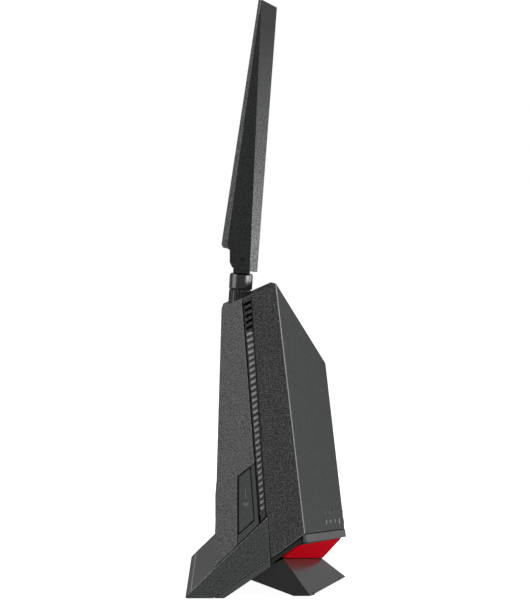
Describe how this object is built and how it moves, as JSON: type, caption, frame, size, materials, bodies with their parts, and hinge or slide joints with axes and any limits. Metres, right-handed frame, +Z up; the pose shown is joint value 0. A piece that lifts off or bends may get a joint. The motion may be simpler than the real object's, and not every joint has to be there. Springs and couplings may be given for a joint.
{
  "type": "wireless router",
  "caption": "Upright wedge-bodied wireless router on a splayed stand, with folding aerials, slotted side vents, red lower insert and a rear row of sockets.",
  "frame": {"origin": "centre of the bounding box footprint, on the plane the rubber pads stand on", "axes": "+X along the width, -Y to the front, +Z up"},
  "size_m": [0.2422, 0.0912, 0.3249],
  "materials": {
    "front_shell_plastic": "fine sparkle texture, dark grey",
    "rear_shell_plastic": "fine grained charcoal",
    "dark_plastic": "matte black",
    "foot_plastic": "satin charcoal",
    "trim_plastic": "satin mid grey",
    "red_plastic": "satin red",
    "mesh_grey": "light grey woven dust mesh",
    "button_plastic": "matte dark grey",
    "rubber_black": "matte",
    "light_guide": "milky clear",
    "circuit_board": "green solder mask",
    "chip_black": "matte moulded",
    "tinned_steel": "tinned sheet",
    "sink_aluminium": "extruded, plain",
    "socket_plastic": "matte moulded",
    "socket_blue": "blue moulded",
    "socket_steel": "bright nickel shell",
    "thread_brass": "gilded thread",
    "aerial_gloss": "polished black",
    "aerial_plastic": "fine grained black",
    "lead_jacket": "smooth jacket",
    "screw_steel": "black zinc"
  },
  "bodies": {
    "housing": {"aerial_jacks": "thread_brass", "aerial_leads": "lead_jacket", "aerial_nuts": "aerial_gloss", "board_screws": "screw_steel", "button_bezel_left": "rear_shell_plastic", "button_bezel_right": "rear_shell_plastic", "chin_panel": "dark_plastic", "fast_network_port": "socket_plastic", "foot_screws": "screw_steel", "front_foot": "foot_plastic", "front_heat_sink": "sink_aluminium", "front_housing": "front_shell_plastic", "front_rubber_pads": "rubber_black", "front_trim_strip": "trim_plastic", "housing_screws": "screw_steel", "internal_aerial_strip": "circuit_board", "jack_ring_nuts": "thread_brass", "lan_ports": "socket_plastic", "light_board": "circuit_board", "light_guides": "light_guide", "main_board": "circuit_board", "memory_chips": "chip_black", "power_inlet": "socket_plastic", "processor_chip": "chip_black", "rear_heat_sink": "sink_aluminium", "rear_housing": "rear_shell_plastic", "rear_rubber_pads": "rubber_black", "rear_switches": "chip_black", "red_insert": "red_plastic", "shield_cans": "tinned_steel", "side_switches": "chip_black", "stand_cover": "dark_plastic", "stand_frame": "rear_shell_plastic", "stand_screws": "screw_steel", "usb_ports": "socket_steel", "vent_meshes": "mesh_grey", "vent_strip_left": "dark_plastic", "vent_strip_right": "dark_plastic", "wan_port": "socket_blue"},
    "side_button_left_body": {"side_button_left": "button_plastic"},
    "side_button_right_body": {"side_button_right": "button_plastic"},
    "power_button_body": {"power_button": "button_plastic"},
    "reset_button_body": {"reset_button": "button_plastic"},
    "aerial_swivel_left": {"aerial_collar_left": "aerial_gloss", "aerial_pin_left": "screw_steel"},
    "aerial_arm_left": {"aerial_blade_left": "aerial_plastic", "aerial_back_left": "aerial_plastic", "aerial_radiator_left": "circuit_board"},
    "aerial_swivel_centre": {"aerial_collar_centre": "aerial_gloss", "aerial_pin_centre": "screw_steel"},
    "aerial_arm_centre": {"aerial_blade_centre": "aerial_plastic", "aerial_back_centre": "aerial_plastic", "aerial_radiator_centre": "circuit_board"},
    "aerial_swivel_right": {"aerial_collar_right": "aerial_gloss", "aerial_pin_right": "screw_steel"},
    "aerial_arm_right": {"aerial_blade_right": "aerial_plastic", "aerial_back_right": "aerial_plastic", "aerial_radiator_right": "circuit_board"}
  },
  "joints": [
    {"name": "aerial_turn_left", "type": "hinge", "parent": "housing", "child": "aerial_swivel_left", "pos_m": [-0.096, 0.0146, 0.1834], "axis": [0, -0.0628, 0.998], "range_deg": [-180, 180]},
    {"name": "aerial_fold_left", "type": "hinge", "parent": "aerial_swivel_left", "child": "aerial_arm_left", "pos_m": [-0.096, 0.0146, 0.1834], "axis": [-1, 0, 0], "range_deg": [0, 90]},
    {"name": "aerial_turn_centre", "type": "hinge", "parent": "housing", "child": "aerial_swivel_centre", "pos_m": [0, 0.0146, 0.1834], "axis": [0, -0.0628, 0.998], "range_deg": [-180, 180]},
    {"name": "aerial_fold_centre", "type": "hinge", "parent": "aerial_swivel_centre", "child": "aerial_arm_centre", "pos_m": [0, 0.0146, 0.1834], "axis": [-1, 0, 0], "range_deg": [0, 90]},
    {"name": "aerial_turn_right", "type": "hinge", "parent": "housing", "child": "aerial_swivel_right", "pos_m": [0.096, 0.0146, 0.1834], "axis": [0, -0.0628, 0.998], "range_deg": [-180, 180]},
    {"name": "aerial_fold_right", "type": "hinge", "parent": "aerial_swivel_right", "child": "aerial_arm_right", "pos_m": [0.096, 0.0146, 0.1834], "axis": [-1, 0, 0], "range_deg": [0, 90]},
    {"name": "side_button_left_push", "type": "slide", "parent": "housing", "child": "side_button_left_body", "axis": [1, 0, 0], "range_m": [0, 0.0008], "stiffness_N_per_m": 900},
    {"name": "side_button_right_push", "type": "slide", "parent": "housing", "child": "side_button_right_body", "axis": [-1, 0, 0], "range_m": [0, 0.0008], "stiffness_N_per_m": 900},
    {"name": "power_button_push", "type": "slide", "parent": "housing", "child": "power_button_body", "axis": [0, -1, 0], "range_m": [0, 0.0012], "stiffness_N_per_m": 800},
    {"name": "reset_button_push", "type": "slide", "parent": "housing", "child": "reset_button_body", "axis": [0, -1, 0], "range_m": [0, 0.0008], "stiffness_N_per_m": 600}
  ]
}
